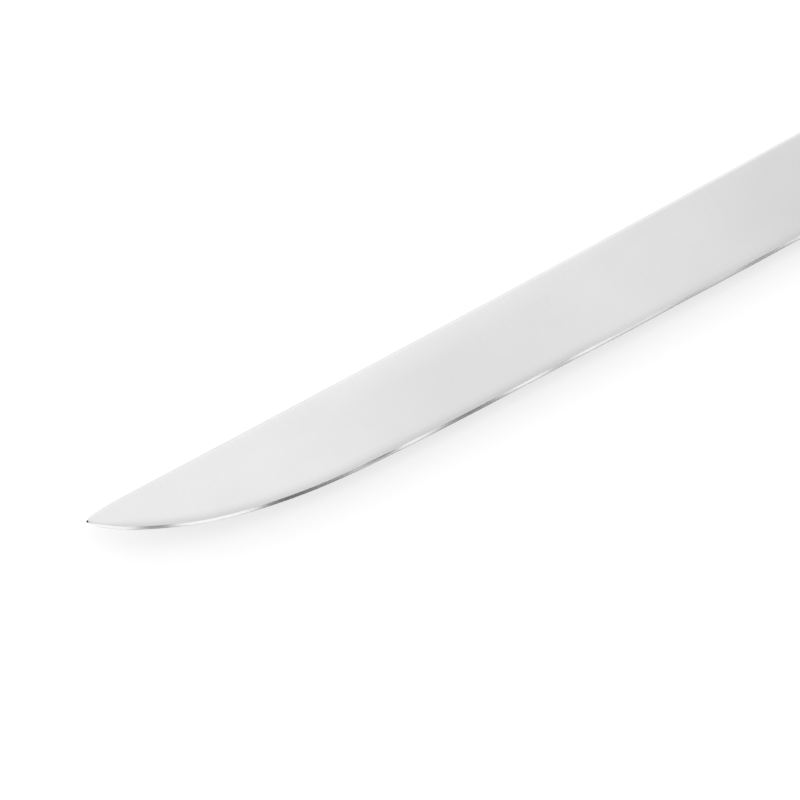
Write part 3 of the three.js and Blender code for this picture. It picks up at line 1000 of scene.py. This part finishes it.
for side_name, side in (("left", 1), ("right", -1)):
    bolster = keep_side(keep_side(handle_half_mesh(side), 0, 1), BOLSTER_LENGTH, -1)
    bolster = combined(bolster, [cove_cutter(side), corner_cutter(), *pin_holes], "DIFFERENCE")
    piece = add_piece(
        f"bolster_{side_name}", bolster, (BOLSTER_LOOK,), (f"{side_name}_bolster",)
    )
    break_edges(piece, EDGE_BREAK)
    scale = keep_side(handle_half_mesh(side), SCALE_FRONT, 1)
    scale = combined(scale, [seat_cutter(place, side) for place in rivet_places.values()], "DIFFERENCE")
    piece = add_piece(
        f"scale_{side_name}", scale, (PLASTIC_LOOK,), (f"{side_name}_scale",)
    )
    break_edges(piece, EDGE_BREAK)


def head_profile():
    """A rivet head from its rim in to its middle, with the rim broken."""
    radius = RIVET_HEAD_DIAMETER / 2
    rim = [(radius, HANDLE_HALF - HEAD_BREAK)]
    for i in range(1, HEAD_BREAK_STEPS + 1):
        angle = math.pi / 2 * i / HEAD_BREAK_STEPS
        z = HANDLE_HALF - HEAD_BREAK * (1 - math.sin(angle))
        rim.append((radius - HEAD_BREAK * (1 - math.cos(angle)), z))
    for share in HEAD_RINGS:
        rim.append((radius * share, HANDLE_HALF))
    return rim + [(0, HANDLE_HALF)]


seat = HANDLE_HALF - RIVET_HEAD_HEIGHT
shank_end = -seat + SOCKET_FLOOR + STUD_END_GAP
bore = STUD_DIAMETER / 2 + FIT_CLEARANCE
stud_profile = [(0, shank_end), (STUD_DIAMETER / 2, shank_end), (STUD_DIAMETER / 2, seat)]
stud_profile += [(RIVET_HEAD_DIAMETER / 2, seat)] + head_profile()
socket_profile = [(radius, -z) for radius, z in reversed(head_profile())]
socket_profile += [(RIVET_HEAD_DIAMETER / 2, -seat), (SOCKET_DIAMETER / 2, -seat)]
socket_profile += [(SOCKET_DIAMETER / 2, seat - SOCKET_END_GAP), (bore, seat - SOCKET_END_GAP)]
socket_profile += [(bore, -seat + SOCKET_FLOOR), (0, -seat + SOCKET_FLOOR)]

for name, (x, y) in rivet_places.items():
    for half_name, profile in (("stud", stud_profile), ("socket", socket_profile)):
        rivet = turned_mesh("rivet", profile)
        place = ORIGIN + Vector((x, y, 0))
        node = f"{name}_rivet_{half_name}"
        add_piece(f"rivet_{half_name}_{name}", rivet, (TURNED_LOOK,), (node,), place)

pin_radius = PIN_DIAMETER / 2
pin_profile = [(0, -HANDLE_HALF), (pin_radius * PIN_RING, -HANDLE_HALF)]
pin_profile += [(pin_radius - EDGE_BREAK / 2, -HANDLE_HALF)]
pin_profile += [(pin_radius, EDGE_BREAK / 2 - HANDLE_HALF)]
pin_profile += [(radius, -z) for radius, z in reversed(pin_profile)]
for name, (x, y) in pin_places.items():
    place = ORIGIN + Vector((x, y, 0))
    pin = turned_mesh("pin", pin_profile)
    add_piece(f"bolster_pin_{name}", pin, (TURNED_LOOK,), (f"{name}_bolster_pin",), place)


# Floor, light and camera

FLOOR_SIDE = 8.0
FLOOR_SHADE = 0.42
FLOOR_MOTTLE = 0.01
FLOOR_GRAIN = (30, 30, 30)
FLOOR_GLOW = 0.70
FIRST_BOUNCE = 0.5
LAMP_HEIGHT = 1.25
SOFTBOX_LEVEL = 0.96
SOFTBOX_ALONG = (-36, 32)
SOFTBOX_ACROSS = (-14, 46)
FILL_LEVEL = 2.0
FILL_ALONG = (-42, 42)
FILL_ACROSS = (-23, -7)
WALL_LEVEL = 0.6
CEILING_LEVEL = 0.1
CEILING_FROM = 0.6
CEILING_FULL = 0.8


def joined(tree, operation, one, two):
    return add_node(tree, "ShaderNodeMath", {0: one, 1: two}, operation=operation).outputs[0]


def seen_ray(tree, path):
    """1 for rays from the camera, reflected or let through, and 0 for those that only carry light."""
    direct = joined(tree, "MAXIMUM", path.outputs["Is Camera Ray"], path.outputs["Is Glossy Ray"])
    return joined(tree, "MAXIMUM", direct, path.outputs["Is Transmission Ray"])


def floor_material():
    """A pale floor that keeps the shadow and reads as white where nothing shades it."""
    material, tree, shader = new_material("pale_floor")
    shader.inputs["Roughness"].default_value = 1.0
    shader.inputs["Specular IOR Level"].default_value = 0.0
    mottle = object_noise(tree, FLOOR_GRAIN, detail=2.0, roughness=0.5)
    dark = grey(FLOOR_SHADE * (1 - FLOOR_MOTTLE))
    light = grey(FLOOR_SHADE * (1 + FLOOR_MOTTLE))
    tree.links.new(tint(tree, mottle, dark, light), shader.inputs["Base Color"])
    path = add_node(tree, "ShaderNodeLightPath")
    first = joined(tree, "LESS_THAN", path.outputs["Diffuse Depth"], FIRST_BOUNCE)
    shown = joined(tree, "MULTIPLY", seen_ray(tree, path), first)
    glow = joined(tree, "MULTIPLY", shown, FLOOR_GLOW)
    shader.inputs["Emission Color"].default_value = grey(1)
    tree.links.new(glow, shader.inputs["Emission Strength"])
    return material


half_floor = FLOOR_SIDE / 2
corners = [(-half_floor, -half_floor, 0), (half_floor, -half_floor, 0)]
corners += [(half_floor, half_floor, 0), (-half_floor, half_floor, 0)]
floor_mesh = mesh_from("floor", corners, [(0, 1, 2, 3)])
floor_mesh.materials.append(floor_material())
floor = bpy.data.objects.new("floor", floor_mesh)
bpy.context.scene.collection.objects.link(floor)


def add_lamp(name, lamp_level, along, across):
    """A level softbox overhead that spans these degrees from the upright, along and across the knife."""
    x_low, x_high = (LAMP_HEIGHT * math.tan(math.radians(angle)) for angle in along)
    y_low, y_high = (LAMP_HEIGHT * math.tan(math.radians(angle)) for angle in across)
    data = bpy.data.lights.new(name, "AREA")
    data.shape = "RECTANGLE"
    data.size = x_high - x_low
    data.size_y = y_high - y_low
    data.energy = lamp_level * math.pi * data.size * data.size_y
    lamp = bpy.data.objects.new(name, data)
    lamp.location = ((x_low + x_high) / 2, (y_low + y_high) / 2, MID_Z + LAMP_HEIGHT)
    bpy.context.scene.collection.objects.link(lamp)
    return lamp


add_lamp("softbox", SOFTBOX_LEVEL, SOFTBOX_ALONG, SOFTBOX_ACROSS)
fill = add_lamp("fill", FILL_LEVEL, FILL_ALONG, FILL_ACROSS)
fill.visible_glossy = False

world = bpy.data.worlds.new("studio")
world.use_nodes = True
bpy.context.scene.world = world
tree = world.node_tree
background = tree.nodes["Background"]
coordinates = add_node(tree, "ShaderNodeTexCoord")
axes = add_node(tree, "ShaderNodeSeparateXYZ", {"Vector": coordinates.outputs["Generated"]})
path = add_node(tree, "ShaderNodeLightPath")
wall = spread(tree, seen_ray(tree, path), 0, 1, WALL_LEVEL, 1)
values = {
    "Value": axes.outputs["Z"],
    "From Min": CEILING_FROM,
    "From Max": CEILING_FULL,
    "To Min": wall,
    "To Max": CEILING_LEVEL,
}
level = add_node(tree, "ShaderNodeMapRange", values, interpolation_type="SMOOTHSTEP")
tree.links.new(level.outputs["Result"], background.inputs["Color"])

CAMERA_LENS = 100
CAMERA_AZIMUTH = math.radians(-32.15)
CAMERA_ELEVATION = math.radians(60)
CAMERA_DISTANCE = 467.85 * MM
AIM_BEHIND_TIP = 69.18 * MM
AIM_BELOW_AXIS = 0.74 * MM
CAMERA_CLIP = 10 * MM

aim = ORIGIN + Vector((
    AIM_BEHIND_TIP - BLADE_LENGTH,
    -AIM_BELOW_AXIS,
    EDGE_THICKNESS,
))
back = Vector((
    math.sin(CAMERA_AZIMUTH) * math.cos(CAMERA_ELEVATION),
    -math.cos(CAMERA_AZIMUTH) * math.cos(CAMERA_ELEVATION),
    math.sin(CAMERA_ELEVATION),
))
camera_data = bpy.data.cameras.new("camera")
camera_data.lens = CAMERA_LENS
camera_data.clip_start = CAMERA_CLIP
camera = bpy.data.objects.new("camera", camera_data)
camera.location = aim + back * CAMERA_DISTANCE
camera.rotation_euler = (-back).to_track_quat("-Z", "Y").to_euler()
bpy.context.scene.collection.objects.link(camera)
bpy.context.scene.camera = camera
bpy.context.scene.view_settings.view_transform = "Standard"
